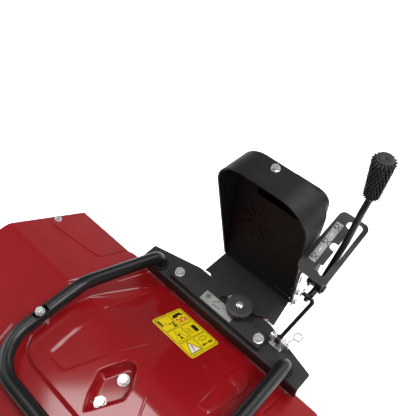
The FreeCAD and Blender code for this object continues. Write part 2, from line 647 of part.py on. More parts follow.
def make_base_plate():
    half, front_y, back_y = 71, 36, 103
    body = plate([(chute_x - half, front_y), (chute_x + half, front_y), (chute_x + half, back_y),
                  (chute_x - half, back_y)], [3, 3, 4, 4], plate_low, plate_high)
    disc = rod(v(chute_x, chute_y, plate_low), v(chute_x, chute_y, plate_high), 156)
    base = body.fuse(disc.common(box(v(chute_x - 66, -20, plate_low), v(chute_x + 66, 60, plate_high))))
    for side in (-1, 1):
        inner_x, outer_x = chute_x + side * half, chute_x + side * (half + 16) + 2
        rear_x = chute_x + side * (half + 9) - 2
        low = v(0, 0, -2.0)
        corners = [v(inner_x, front_y + 2, plate_high), v(outer_x, front_y + 2, plate_high - 2.5),
                   v(rear_x, back_y, plate_high - 1), v(inner_x, back_y, plate_high)]
        faces = [Part.Face(Part.makePolygon(corners[:3] + corners[:1])),
                 Part.Face(Part.makePolygon([corners[0], corners[2], corners[3], corners[0]]))]
        base = base.fuse(faces[0].extrude(low).fuse(faces[1].extrude(low)))
        slope = (hood_back[1][0] - hood_back[0][0]) / (hood_back[1][1] - hood_back[0][1])
        tab_y = back_face_y(plate_high - 1) + 0.5
        tab = slab([(tab_y, plate_high - 1), (tab_y + 3, plate_high - 1), (tab_y + 3 + 35 * slope, 40),
                    (tab_y + 35 * slope, 40)], 0, chute_x + side * 65 - 8, chute_x + side * 65 + 8)
        base = base.fuse(tab)
    base = base.cut(box(v(chute_x - duct_half - 1, 94, -5), v(chute_x + duct_half + 1, 120, 10)))
    slot = Part.Face(arc_slot(7.0, 16.0, 21.5, plate_low - 1))
    return base.cut(slot.extrude(v(0, 0, 10)))


def arc_slot(half_width, below, above, z):
    """Closed outline of the slot that runs round the swivel axis, through the clamp stud."""
    radius = math.hypot(knob_x - chute_x, knob_y - chute_y)
    middle = math.degrees(math.atan2(knob_y - chute_y, knob_x - chute_x))

    def at(r, degrees):
        a = math.radians(degrees)
        return v(chute_x + r * math.cos(a), chute_y + r * math.sin(a), z)
    low, high = middle - below, middle + above
    cap = math.degrees(half_width / radius)
    wide, narrow = radius + half_width, radius - half_width
    outer = Part.Arc(at(wide, low), at(wide, middle), at(wide, high))
    end = Part.Arc(at(wide, high), at(radius, high + cap), at(narrow, high))
    inner = Part.Arc(at(narrow, high), at(narrow, middle), at(narrow, low))
    start = Part.Arc(at(narrow, low), at(radius, low - cap), at(wide, low))
    return Part.Wire([outer.toShape(), end.toShape(), inner.toShape(), start.toShape()])


def make_strap():
    """Zinc stay on the hood's left flank (operator's side)."""
    x = chute_x + hood_foot_half + 3.5
    strap = slab([(85, 13), (97, 10), (103, 118), (91, 122)], 5, x, x + 2.5)
    for y, z in strap_bolt_spots:
        strap = strap.cut(rod(v(x - 1, y, z), v(x + 4, y, z), 3.1))
    return strap.cut(slab([(92.4, 84), (97.4, 84), (98.6, 108), (93.6, 108)], 2.3, x - 1, x + 4))


# ---------------------------------------------------------------- gate, lever and link
def make_gate_plate():
    def flat(points, radius, top=0.0, depth=gate_thick):
        wire = rounded_wire([on_gate(u, s, top) for u, s in points], radius, closed=True)
        a = math.radians(gate_tilt)
        return Part.Face(wire).extrude(v(0, depth * math.sin(a), -depth * math.cos(a)))
    gate = flat([(-41, -79), (16, -79), (16, 43), (-37, 43)], [13, 10, 10, 10])
    gate = gate.cut(flat([(-7, -66), (8, -66), (8, 37), (-7, 37)], 7.3, 5, 15))
    for s in (28.0, -16.0, -57.5):
        gate = gate.cut(flat([(-18, s - 6.5), (0, s - 6.5), (0, s + 6.5), (-18, s + 6.5)],
                             [6.4, 0, 0, 6.4], 5, 15))
    def middle(y):
        a = math.radians(gate_tilt)
        return gate_point.z + (y - gate_point.y) * math.tan(a) - gate_thick / 2 / math.cos(a)
    for low in (118.0, 140.5):
        ear = slab([(73, 127), (93, 127), (103, middle(103)), (74, middle(74))], [9, 9, 0, 0], low, low + 3)
        gate = gate.fuse(ear.cut(rod(v(100, pivot.y, pivot.z), v(160, pivot.y, pivot.z), 4.05)))
    arm = slab([(92, 150), (122, 150), (122, middle(122)), (92, middle(92))], 0, 95.6, 99.6)
    return gate.fuse(arm).removeSplitter()


def make_pivot_bolt():
    shank = rod(v(113, pivot.y, pivot.z), v(143.5, pivot.y, pivot.z), 4.0)
    head = rod(v(143.5, pivot.y, pivot.z), v(146, pivot.y, pivot.z), 6.5)
    lock = hexagon(v(118, pivot.y, pivot.z), v(-1, 0, 0), 12, 4)
    return shank.fuse(head).fuse(lock)


def make_spring():
    wire, coil = 0.8, 6.0
    helix = Part.makeHelix(2.1, 6.3, coil)
    circle = Part.Circle(v(coil, 0, 0), v(0, 1, 0), wire).toShape()
    spring = Part.Wire(helix).makePipeShell([Part.Wire([circle])], True, True)
    spring.rotate(v(0, 0, 0), v(0, 1, 0), 90)
    spring.translate(v(122.4, pivot.y, pivot.z))
    return spring


def make_lever():
    points = [lever_end, pivot, v(lever_x, 134.5, 208), v(lever_x, 155, 264.6),
              v(lever_x, grip_y, grip_low - 5), v(lever_x, grip_y, grip_high - 8)]
    lever = swept(points, [0, 16, 40, 40, 20, 0], lever_radius)
    hub = rod(v(130, pivot.y, pivot.z), v(140, pivot.y, pivot.z), 8.5)
    eye = rod(v(131, lever_end.y, lever_end.z), v(136.5, lever_end.y, lever_end.z), 9)
    lever = lever.fuse(hub).fuse(eye)
    lever = lever.cut(rod(v(120, lever_end.y, lever_end.z), v(150, lever_end.y, lever_end.z), 6.4))
    return lever.cut(rod(v(120, pivot.y, pivot.z), v(150, pivot.y, pivot.z), 4.05))


def make_grip():
    grip = Part.makeCone(13, 18.5, grip_high - grip_low, v(lever_x, grip_y, grip_low))
    grip = grip.makeFillet(2.5, [e for e in grip.Edges if abs(e.CenterOfMass.z - grip_high) < 0.01])
    return grip.cut(rod(v(lever_x, grip_y, grip_low - 1), v(lever_x, grip_y, grip_high - 8),
                        lever_radius + 0.02))


def make_link_rod():
    top = v(lever_x + 10.5, lever_end.y, lever_end.z)
    foot = link_foot + (top - link_foot).normalize() * 6
    bar = swept([foot, top, v(lever_x - 14, lever_end.y, lever_end.z)], [0, 6, 0], link_radius)
    eye = rod(link_foot - v(4, 0, 0), link_foot + v(4, 0, 0), 9)
    return bar.fuse(eye).cut(rod(link_foot - v(8, 0, 0), link_foot + v(8, 0, 0), 5.3))


def make_push_nut():
    return ring(v(lever_x - 13, lever_end.y, lever_end.z), v(lever_x - 10.5, lever_end.y, lever_end.z),
                7.5, link_radius + 0.02)


def make_knob():
    center = v(knob_x, knob_y, 0)
    disc = rod(center + v(0, 0, 17), center + v(0, 0, 31), 25)
    disc = disc.makeFillet(2.5, disc.Edges[:1] + disc.Edges[2:3])
    neck = rod(center + v(0, 0, plate_high + 0.35), center + v(0, 0, 17), 9.5)
    knob = disc.fuse(neck)
    return knob.cut(rod(center, center + v(0, 0, 40), 5.05))


# ---------------------------------------------------------------- save every piece
def save_housing():
    shell = make_housing_shell()
    deck = make_deck_panel()
    for x in (-tube_leg_x + 0.8, tube_leg_x - 0.8):
        hole = rod(v(x, tube_bolt_y, 40), v(x, tube_bolt_y, 110), 4.2)
        shell = shell.cut(hole)
        deck = deck.cut(hole)
    wing_bolts = []
    side_holes = []
    for x in (-396, 396):
        seat = on_ramp(x, -90)
        hole = rod(seat - ramp_normal() * 10, seat + ramp_normal() * 5, 4.2)
        shell = shell.cut(hole)
        side_holes.append(hole)
        wing_bolts.append(bolt(seat, ramp_normal(), 8, 16))
        wing_bolts.append(nut(seat - ramp_normal() * 5.6, ramp_normal() * -1, 8))
    for y in pocket_bolt_y:
        deck = deck.cut(rod(v(pocket_x, y, 40), v(pocket_x, y, 110), 5.1))
    save("housing_shell", shell)
    save("deck_panel", deck)
    left = make_side_plate()
    skid_bolts = []
    for y in (-355, -285):
        hole = rod(v(side_x - 20, y, -352), v(side_x + 20, y, -352), 4.2)
        left = left.cut(hole)
        skid_bolts.append(bolt(v(side_x + 5, y, -352), v(1, 0, 0), 8, 16))
        skid_bolts.append(nut(v(side_x - side_thick, y, -352), v(-1, 0, 0), 8))
    save("side_plate_left", left.cut(side_holes[1]))
    save("side_plate_right", mirrored(left).cut(side_holes[0]))
    save("side_plate_bolts", *wing_bolts)
    save("scraper_bar", make_scraper())
    scraper_bolts = []
    for x in scraper_bolt_x:
        scraper_bolts.append(bolt(v(x, auger_y - 22, bottom_z + sheet), v(0, 0, 1), 8, 14))
        scraper_bolts.append(nut(v(x, auger_y - 22, bottom_z - 6), v(0, 0, -1), 8))
    save("scraper_bolts", *scraper_bolts)
    save("skid_shoe_left", make_skid())
    save("skid_shoe_right", mirrored(make_skid()))
    save("skid_bolts", *(skid_bolts + [mirrored(b) for b in skid_bolts]))


def save_first_stage():
    save("auger_flight_left", make_flight())
    save("auger_flight_right", mirrored(make_flight()))
    save("auger_axle", make_auger_axle())
    save("shear_bolts", *make_shear_bolts())
    save("auger_bushings", make_bushing(), mirrored(make_bushing()))
    save("worm_wheel", make_worm_wheel())
    save("gearbox_case", make_gearbox())
    save("gearbox_steady", make_steady())
    steady_bolts = []
    for y in pocket_bolt_y:
        steady_bolts.append(bolt(v(pocket_x, y, pocket_floor_z), v(0, 0, 1), 10, 18))
        steady_bolts.append(nut(v(pocket_x, y, pocket_floor_z - 8), v(0, 0, -1), 10))
    save("steady_bolts", *steady_bolts)


def save_second_stage():
    save("impeller_housing", make_drum())
    save("discharge_neck", make_neck())
    save("slide_ring", ring(v(chute_x, chute_y, -17), v(chute_x, chute_y, -14.4), 56, 49.5))
    save("impeller", make_impeller())
    save("impeller_shaft", make_impeller_shaft())
    save("worm", make_worm().cut(rod(v(0, -300, drum_z), v(0, 0, drum_z), 8.02)))
    save("input_coupling", make_coupling())
    save("carrier_flange", make_carrier_flange())
    save("rear_bearing", make_rear_bearing())


def save_frame():
    save("hitch_bracket", make_bracket())
    save("bracket_stays", *make_stays())
    save("guard_tube", make_guard_tube())
    save("tube_spacers", *make_tube_spacers())
    tube_bolts = []
    for x in (-tube_leg_x + 0.8, tube_leg_x - 0.8):
        tube_bolts.append(bolt(v(x, tube_bolt_y, tube_top_z + 8), v(0, 0, 1), 8, 48))
        tube_bolts.append(nut(v(x, tube_bolt_y, top_z - sheet - 1.2), v(0, 0, -1), 8))
    save("guard_tube_bolts", *tube_bolts)
    save("clamp_bar", make_clamp_bar())
    clamp_bolts = [bolt(v(x, -6, 14), v(0, 0, 1), 10, 14) for x in (-107, 93)]
    save("clamp_bolts", *clamp_bolts)
    label = plate([(-41, -19), (34, -19), (34, 3), (-41, 3)], 1.5, 14, 14.4)
    save("rating_label", label)
    save("clevis_bracket", make_clevis())
    save("clevis_pin", make_clevis_pin())
    save("r_clip", make_r_clip())
    save("knob_stud", rod(v(knob_x, knob_y, -8), v(knob_x, knob_y, 33), 5.0))
    normal = ramp_normal()
    corners = [on_ramp(x, y, sheet) for x, y in ((-66, -50), (38, -50), (38, -119), (-66, -119))]
    save("warning_label", prism(corners, 6, normal * 0.4))


def save_chute():
    save("chute_base_plate", make_base_plate())
    save("chute_hood", make_hood())
    save("chute_duct", make_duct())
    save("hood_bolt", bolt(hood_bolt_seat, hood_bolt_axis, 8, 10),
         nut(hood_bolt_seat - hood_bolt_axis * 3.4, hood_bolt_axis * -1, 8))
    save("side_strap", make_strap())
    x = chute_x + hood_foot_half + 6.0
    save("strap_bolts", *[bolt(v(x, y, z), v(1, 0, 0), 6, 11) for y, z in strap_bolt_spots])
    save("gate_plate", make_gate_plate())
    corners = [on_gate(u, s, 0.0) for u, s in ((-32.5, -55), (-19, -55), (-19, 22), (-32.5, 22))]
    a = math.radians(gate_tilt)
    save("gate_label", prism(corners, 1.0, v(0, -0.4 * math.sin(a), 0.4 * math.cos(a))))
    save("lever_pivot_bolt", make_pivot_bolt())


def save_controls():
    save("lever_spring", make_spring())
    save("lever_rod", make_lever())
    save("lever_grip", make_grip())
    save("link_rod", make_link_rod())
    save("push_nut", make_push_nut())
    save("clamp_knob", make_knob())


os.makedirs("parts", exist_ok=True)
save_housing()
save_first_stage()
save_second_stage()
save_frame()
save_chute()
save_controls()
print(len(saved), "nodes saved")
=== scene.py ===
import math

import bmesh
import bpy
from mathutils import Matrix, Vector, noise


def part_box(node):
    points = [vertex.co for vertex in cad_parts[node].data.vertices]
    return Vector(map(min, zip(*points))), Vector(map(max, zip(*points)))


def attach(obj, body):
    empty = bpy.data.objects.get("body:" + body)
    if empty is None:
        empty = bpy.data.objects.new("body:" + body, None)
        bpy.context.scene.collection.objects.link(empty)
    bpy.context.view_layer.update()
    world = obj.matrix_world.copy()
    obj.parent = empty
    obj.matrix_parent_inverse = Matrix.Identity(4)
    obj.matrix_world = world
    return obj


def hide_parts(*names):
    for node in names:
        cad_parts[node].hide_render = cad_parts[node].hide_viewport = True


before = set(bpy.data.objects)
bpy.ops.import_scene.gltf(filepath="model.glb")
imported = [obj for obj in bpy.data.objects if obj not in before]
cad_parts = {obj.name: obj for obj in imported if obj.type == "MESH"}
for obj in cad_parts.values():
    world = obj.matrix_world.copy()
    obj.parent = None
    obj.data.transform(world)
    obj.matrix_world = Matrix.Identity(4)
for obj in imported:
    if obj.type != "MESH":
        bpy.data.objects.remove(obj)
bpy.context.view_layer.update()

ORIGIN = Vector((0.0, 0.124, 0.410))   # middle of the bracket's top face, in the shared frame


def at(x, y, z):
    """Point given in millimetres from the middle of the bracket's top face."""
    return Vector((x, y, z)) / 1000 + ORIGIN


# ---------------------------------------------------------------- materials
def new_material(name, color, roughness, metallic=0.0, coat=0.0, coat_roughness=0.05, specular=0.5):
    mat = bpy.data.materials.new(name)
    mat.use_nodes = True
    shader = mat.node_tree.nodes["Principled BSDF"]
    shader.inputs["Base Color"].default_value = (*color, 1)
    shader.inputs["Roughness"].default_value = roughness
    shader.inputs["Metallic"].default_value = metallic
    shader.inputs["Coat Weight"].default_value = coat
    shader.inputs["Coat Roughness"].default_value = coat_roughness
    shader.inputs["Specular IOR Level"].default_value = specular
    return mat, mat.node_tree.nodes, mat.node_tree.links, shader


def position(nodes, links, scale=(1, 1, 1)):
    geometry = nodes.new("ShaderNodeTexCoord")
    mapping = nodes.new("ShaderNodeMapping")
    mapping.inputs["Scale"].default_value = scale
    links.new(geometry.outputs["Object"], mapping.inputs["Vector"])
    return mapping.outputs["Vector"]


def noise_node(nodes, links, vector, scale, detail=3.0, rough=0.55):
    tex = nodes.new("ShaderNodeTexNoise")
    tex.inputs["Scale"].default_value = scale
    tex.inputs["Detail"].default_value = detail
    tex.inputs["Roughness"].default_value = rough
    links.new(vector, tex.inputs["Vector"])
    return tex.outputs["Fac"]


def ramp(nodes, links, factor, stops):
    node = nodes.new("ShaderNodeValToRGB")
    elements = node.color_ramp.elements
    while len(elements) < len(stops):
        elements.new(0.5)
    for element, (place, color) in zip(elements, stops):
        element.position = place
        element.color = (*color, 1)
    links.new(factor, node.inputs["Fac"])
    return node.outputs["Color"]


def spread(nodes, links, factor, low, high):
    node = nodes.new("ShaderNodeMapRange")
    node.inputs["From Min"].default_value = 0.3
    node.inputs["From Max"].default_value = 0.7
    node.inputs["To Min"].default_value = low
    node.inputs["To Max"].default_value = high
    links.new(factor, node.inputs["Value"])
    return node.outputs["Result"]


def bump(nodes, links, shader, height, strength, distance):
    node = nodes.new("ShaderNodeBump")
    node.inputs["Strength"].default_value = strength
    node.inputs["Distance"].default_value = distance
    links.new(height, node.inputs["Height"])
    links.new(node.outputs["Normal"], shader.inputs["Normal"])


def tint(color, factor):
    """The colour made lighter or darker."""
    return tuple(min(1.0, c * factor) for c in color)


def paint(name, color, roughness, coat, coat_roughness, grain, grain_depth, mottling,
          specular=0.5):
    """Sprayed or powder paint: faint mottling, uneven gloss and orange peel."""
    mat, nodes, links, shader = new_material(name, color, roughness, 0, coat, coat_roughness,
                                             specular)
    vector = position(nodes, links)
    cloud = noise_node(nodes, links, vector, 9, 4)
    tones = [(0.30, tint(color, 1 - mottling)), (0.72, tint(color, 1 + mottling))]
    links.new(ramp(nodes, links, cloud, tones), shader.inputs["Base Color"])
    smears = noise_node(nodes, links, position(nodes, links, (1, 2.4, 1)), 26, 5)
    gloss_map = spread(nodes, links, smears, roughness * 0.88, roughness * 1.14)
    links.new(gloss_map, shader.inputs["Roughness"])
    bump(nodes, links, shader, noise_node(nodes, links, vector, grain, 2), 0.35, grain_depth)
    return mat


def worn_paint(name, color, bare, amount):
    """Paint rubbed through to metal in patches and thin scratches."""
    mat, nodes, links, shader = new_material(name, color, 0.4, 0, 0.25, 0.15)
    vector = position(nodes, links)
    patches = noise_node(nodes, links, vector, 34, 8, 0.7)
    scratches = noise_node(nodes, links, position(nodes, links, (3, 160, 160)), 3.0, 3, 0.6)
    both = nodes.new("ShaderNodeMath")
    both.operation = "MULTIPLY"
    links.new(patches, both.inputs[0])
    links.new(scratches, both.inputs[1])
    mask = nodes.new("ShaderNodeMapRange")
    mask.inputs["From Min"].default_value = 0.36 - amount
    mask.inputs["From Max"].default_value = 0.40 - amount
    links.new(both.outputs["Value"], mask.inputs["Value"])
    mix = nodes.new("ShaderNodeMix")
    mix.data_type = "RGBA"
    links.new(mask.outputs["Result"], mix.inputs["Factor"])
    mix.inputs[6].default_value = (*color, 1)
    mix.inputs[7].default_value = (*bare, 1)
    links.new(mix.outputs[2], shader.inputs["Base Color"])
    links.new(mask.outputs["Result"], shader.inputs["Metallic"])
    links.new(spread(nodes, links, patches, 0.30, 0.5), shader.inputs["Roughness"])
    bump(nodes, links, shader, noise_node(nodes, links, vector, 700, 2), 0.3, 0.00002)
    return mat


def plated(name, color, roughness, cell=420.0, brushed=(1, 1, 1), depth=0.00001, metallic=1.0):
    """Plated or machined metal: patchy crystals or drawn lines in its gloss."""
    mat, nodes, links, shader = new_material(name, color, roughness, metallic)
    vector = position(nodes, links, brushed)
    cells = nodes.new("ShaderNodeTexVoronoi")
    cells.inputs["Scale"].default_value = cell
    links.new(vector, cells.inputs["Vector"])
    fine = noise_node(nodes, links, vector, cell * 0.6, 4, 0.65)
    links.new(ramp(nodes, links, fine, [(0.3, tint(color, 0.80)), (0.7, tint(color, 1.06))]),
              shader.inputs["Base Color"])
    links.new(spread(nodes, links, cells.outputs["Distance"], roughness * 0.8, roughness * 1.35),
              shader.inputs["Roughness"])
    bump(nodes, links, shader, fine, 0.4, depth)
    return mat


def moulded(name, color, roughness, grain, depth):
    """Moulded plastic or rubber with a fine leather-like grain."""
    mat, nodes, links, shader = new_material(name, color, roughness)
    vector = position(nodes, links)
    cells = nodes.new("ShaderNodeTexVoronoi")
    cells.inputs["Scale"].default_value = grain
    links.new(vector, cells.inputs["Vector"])
    cloud = noise_node(nodes, links, vector, 60, 4)
    links.new(ramp(nodes, links, cloud, [(0.3, tint(color, 0.78)), (0.7, tint(color, 1.25))]),
              shader.inputs["Base Color"])
    gloss_map = spread(nodes, links, cloud, roughness * 0.9, roughness * 1.1)
    links.new(gloss_map, shader.inputs["Roughness"])
    bump(nodes, links, shader, cells.outputs["Distance"], 0.5, depth)
    return mat


def cast(name, color):
    """Rough cast metal."""
    mat, nodes, links, shader = new_material(name, color, 0.6, 0.35)
    vector = position(nodes, links)
    lumps = noise_node(nodes, links, vector, 240, 6, 0.7)
    links.new(ramp(nodes, links, lumps, [(0.25, tint(color, 0.6)), (0.75, tint(color, 1.3))]),
              shader.inputs["Base Color"])
    bump(nodes, links, shader, lumps, 0.8, 0.0003)
    return mat


RED = (0.27, 0.0035, 0.0065)
# SHADED_RED is the same red darkened as painted shade. The worn reds of the impeller housing,
# discharge neck, auger flights and impeller carry this painted shade under their real wear.
SHADED_RED = (0.24, 0.0035, 0.006)
BARE_METAL = (0.34, 0.33, 0.32)

red = paint("red_gloss_paint", RED, 0.5, 1.0, 0.10, 700, 0.000012, 0.06, 0.12)
red_worn_and_shaded = worn_paint("red_worn_and_shaded_paint", SHADED_RED, BARE_METAL, 0.015)
red_auger_shaded = worn_paint("red_auger_shaded_paint", SHADED_RED, (0.36, 0.35, 0.34), 0.045)
black = paint("black_satin_paint", (0.018, 0.018, 0.0185), 0.46, 0.0, 0.1, 1500, 0.00004, 0.2,
              0.4)
black_tube = paint("black_tube_paint", (0.0065, 0.0065, 0.007), 0.36, 0.0, 0.15, 1100, 0.00003,
                   0.2, 0.4)
black_gloss = paint("black_semigloss_paint", (0.011, 0.011, 0.0115), 0.50, 0.0, 0.10, 1300,
                    0.00004, 0.22, 0.28)
black_worn = worn_paint("black_worn_paint", (0.016, 0.016, 0.017), BARE_METAL, 0.05)
zinc = plated("zinc_plate", (0.80, 0.81, 0.81), 0.30, 520, metallic=0.8)
steel = plated("machined_steel", (0.42, 0.42, 0.43), 0.30, 300, (1, 40, 1))
steel_axle = plated("machined_axle_steel", (0.42, 0.42, 0.43), 0.30, 300, (40, 1, 1))
spring_steel = plated("spring_steel", (0.36, 0.36, 0.35), 0.30, 600)
iron = cast("cast_iron_skin", (0.10, 0.10, 0.105))
brass = plated("worm_brass", (0.62, 0.45, 0.17), 0.3, 300)
bronze = plated("bushing_bronze", (0.42, 0.30, 0.16), 0.38, 500)
knob_black = moulded("knob_black_plastic", (0.030, 0.030, 0.031), 0.42, 1300, 0.00004)
rubber = moulded("grip_black_rubber", (0.020, 0.020, 0.021), 0.55, 900, 0.00005)
slide = moulded("slide_ring_plastic", (0.70, 0.69, 0.64), 0.45, 900, 0.00003)
label_yellow = paint("label_yellow_film", (0.88, 0.66, 0.006), 0.36, 0.25, 0.12, 500, 0.00001, 0.03)
label_silver = plated("label_silver_foil", (0.55, 0.55, 0.56), 0.42, 240, (1, 14, 1))
label_grey = paint("label_grey_film", (0.32, 0.32, 0.325), 0.38, 0.2, 0.15, 500, 0.00001, 0.06)
ink_black = paint("ink_black", (0.012, 0.012, 0.012), 0.42, 0.0, 0.1, 700, 0.00001, 0.1)
ink_white = paint("ink_white", (0.80, 0.80, 0.80), 0.42, 0.0, 0.1, 700, 0.00001, 0.03)
ink_red = paint("ink_red", (0.55, 0.02, 0.02), 0.42, 0.0, 0.1, 700, 0.00001, 0.05)
ink_grey = paint("ink_grey", (0.035, 0.035, 0.04), 0.45, 0.0, 0.1, 700, 0.00001, 0.1)
weld = plated("painted_weld", (0.05, 0.05, 0.05), 0.4, 300)

finishes = {
    "housing_shell": red, "deck_panel": red, "side_plate_left": red, "side_plate_right": red,
    "impeller_housing": red_worn_and_shaded, "discharge_neck": red_worn_and_shaded, "auger_flight_left": red_auger_shaded,
    "auger_flight_right": red_auger_shaded, "impeller": red_auger_shaded, "gearbox_case": iron,
    "gearbox_steady": black, "carrier_flange": black, "bracket_stays": black,
    "hitch_bracket": black, "clamp_bar": black, "guard_tube": black_tube,
    "scraper_bar": black_worn, "skid_shoe_left": black_worn, "skid_shoe_right": black_worn,
    "chute_base_plate": black, "chute_hood": black_gloss,
    "chute_duct": black_gloss, "gate_plate": black, "lever_rod": black_tube, "link_rod": black_tube,
    "lever_pivot_bolt": black, "lever_grip": rubber, "clamp_knob": knob_black, "slide_ring": slide,
    "worm_wheel": brass, "auger_bushings": bronze, "warning_label": label_yellow,
    "rating_label": label_silver, "gate_label": label_grey, "auger_axle": steel_axle,
    "impeller_shaft": steel, "worm": steel, "input_coupling": steel, "rear_bearing": steel,
    "lever_spring": spring_steel, "r_clip": spring_steel,
}
for name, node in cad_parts.items():
    node.data.materials.clear()
    node.data.materials.append(finishes.get(name, zinc))


# ---------------------------------------------------------------- helpers for new pieces
def piece(name, mesh, mat, body, smooth=True, angle=35.0):
    obj = bpy.data.objects.new(name, mesh)
    bpy.context.collection.objects.link(obj)
    mesh.materials.append(mat)
    if smooth:
        mesh.polygons.foreach_set("use_smooth", [True] * len(mesh.polygons))
        mesh.set_sharp_from_angle(angle=math.radians(angle))
    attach(obj, body)
    return obj


def mesh_from(name, verts, faces):
    """A mesh from its points, in metres, and its faces."""
    mesh = bpy.data.meshes.new(name)
    mesh.from_pydata([tuple(p) for p in verts], [], faces)
    mesh.validate()
    mesh.update()
    return mesh


def tube_mesh(name, rows):
    """Skin over rows of points, capped at both ends."""
    count = len(rows[0])
    verts = [p for row in rows for p in row]
    faces = []
    for j in range(len(rows) - 1):
        for i in range(count):
            k = (i + 1) % count
            faces.append((j * count + i, j * count + k, (j + 1) * count + k, (j + 1) * count + i))
    faces.append(tuple(range(count))[::-1])
    last = (len(rows) - 1) * count
    faces.append(tuple(range(last, last + count)))
    return mesh_from(name, verts, faces)


def smoothstep(edge0, edge1, value):
    t = min(1.0, max(0.0, (value - edge0) / (edge1 - edge0)))
    return t * t * (3 - 2 * t)


def polygon_distance(points, x, y):
    """Distance to a closed outline, negative inside."""
    best = 1e9
    inside = False
    count = len(points)
    for i in range(count):
        ax, ay = points[i]
        bx, by = points[(i + 1) % count]
        dx, dy = bx - ax, by - ay
        t = max(0.0, min(1.0, ((x - ax) * dx + (y - ay) * dy) / (dx * dx + dy * dy)))
        best = min(best, (x - ax - t * dx) ** 2 + (y - ay - t * dy) ** 2)
        if (ay > y) != (by > y) and x < ax + (y - ay) * dx / dy:
            inside = not inside
    return -math.sqrt(best) if inside else math.sqrt(best)


# ---------------------------------------------------------------- pressed deck panel
# All in millimetres from the middle of the bracket's top face.
DECK_HALF, DECK_FRONT, DECK_REAR = 252.0, -392.0, -19.0
REAR_CORNER, FRONT_CORNER = 16.0, 60.0          # corner radii of the panel
RAMP_SLOPE = 111.0 / 161.0                      # rise over run of the rear ramp
RAMP_FOOT_Y, RAMP_FOOT_Z, PANEL_STAND = -21, -43, 3.04
FLAT_Z, CREST_Y, FLAT_FALL, FLAT_RUN = 70.5, -182, 2, 263
CREST_ROUND_EDGE, CREST_ROUND_EXTRA = 5.0, 31.0
RAISES_FULL_Y, RAISES_GONE_Y = -208, -128       # raises fade out down the ramp
CROWN_RAISE, PANEL_RAISE, QUAD_DEPTH = 6.0, 4.0, 2.1
NEAR_PAD_RAISE, FAR_PAD_RAISE = 2.0, 1.7
SEAM_X, SEAM_DEPTH, SEAM_WIDTH = 180, 1.1, 1.9
CREASE_X, CREASE_Y, CREASE_RAISE = 33, 197, 1.9
POCKET_FLOOR, POCKET_WALL = 60.3, 7.0
TOP_TO_BACK, RIM_TO_BACK = 4.0, 2.45            # sheet depth inside and at its rim

crown_outline = [(-212, -100), (-212, -296), (-200, -338), (-176, -362), (-140, -368), (140, -368),
                 (176, -362), (200, -338), (212, -296), (212, -100)]
panel_outline = [(-99, -89), (-116, -88), (-126, -94), (-163, -177), (-170, -233), (-167, -286),
                 (-157, -301), (-142, -310), (-124, -314), (124, -314), (142, -310), (157, -301),
                 (167, -286), (170, -233), (163, -177), (126, -94), (116, -88), (99, -89)]
quad_outline = [(-120, -280), (-122, -230), (-118, -182), (-96, -160), (-44, -134), (-19, -132),
                (-34, -184), (-56, -236), (-78, -283), (-88, -287), (-112, -287)]
pocket_outline = [(-37, -247), (-19, -206), (-10, -201), (-2, -202), (18, -228), (23, -249),
                  (0, -289), (-7, -300), (-21, -282)]
near_pad = [(95, -90), (98, -70), (104, -65), (124, -64), (131, -72), (136, -98), (126, -172),
            (108, -176)]
far_pad = [(-128, -168), (-129, -72), (-135, -64), (-143, -70), (-166, -176)]


def inside(points, x, y, soft):
    """1 within the outline and 0 outside it, with a soft step at its edge."""
    return 1 - smoothstep(-soft, soft, polygon_distance(points, x, y))


def deck_height(x, y):
    """Height of the pressed panel's top face."""
    # ramp and flat, meeting in a rounded crest
    sloped = RAMP_FOOT_Z + RAMP_SLOPE * (RAMP_FOOT_Y - y) + PANEL_STAND
    flat = FLAT_Z - FLAT_FALL * max(0.0, CREST_Y - y) / FLAT_RUN
    k = CREST_ROUND_EDGE + CREST_ROUND_EXTRA * (1 - smoothstep(190, 212, abs(x)))
    h = max(k - abs(sloped - flat), 0.0) / k
    z = min(sloped, flat) - h * h * k / 4
    # raised crown and the panel on it
    rising = 1 - smoothstep(RAISES_FULL_Y, RAISES_GONE_Y, y)
    z += CROWN_RAISE * inside(crown_outline, x, y, 3.2) * rising
    edge = polygon_distance(panel_outline, x, y)
    z += PANEL_RAISE * (1 - smoothstep(-2.4, 2.4, edge)) * rising
    # sunk quadrilateral, fading out towards the ramp
    blend = smoothstep(0, 50, (x + 19) * 0.451 + (y + 132) * -0.893)
    z -= QUAD_DEPTH * inside(quad_outline, x, y, 1.9) * blend
    # pads on the ramp, and the seam outside them
    z += (NEAR_PAD_RAISE * inside(near_pad, x, y, 1.9)
          + FAR_PAD_RAISE * inside(far_pad, x, y, 1.9))
    z -= (SEAM_DEPTH * math.exp(-((abs(x) - SEAM_X) / SEAM_WIDTH) ** 2)
          * smoothstep(-104, -96, y))
    # slanted crease beside the pocket
    side = (x - CREASE_X) * 0.887 + (y + CREASE_Y) * 0.461
    along = (x - CREASE_X) * 0.461 - (y + CREASE_Y) * 0.887
    if along > -12:
        step = smoothstep(-2.6, 2.6, side) * math.exp(-max(0.0, side) / 38)
        z += CREASE_RAISE * step * smoothstep(-12, 16, along) * (1 - smoothstep(78, 112, along))
    # bolt pocket
    pocket = inside(pocket_outline, x, y, 2.6)
    depth = -polygon_distance(pocket_outline, x, y)
    floor_z = POCKET_FLOOR + POCKET_WALL * (1 - smoothstep(1.5, 7.5, depth))
    return z * (1 - pocket) + floor_z * pocket


def deck_half_width(y):
    """Half the panel's width at y, with its rounded corners."""
    if y > DECK_REAR - REAR_CORNER:
        d = y - (DECK_REAR - REAR_CORNER)
        return DECK_HALF - REAR_CORNER + math.sqrt(max(0.0, REAR_CORNER * REAR_CORNER - d * d))
    if y < DECK_FRONT + FRONT_CORNER:
        d = (DECK_FRONT + FRONT_CORNER) - y
        return DECK_HALF - FRONT_CORNER + math.sqrt(max(0.0, FRONT_CORNER * FRONT_CORNER - d * d))
    return DECK_HALF


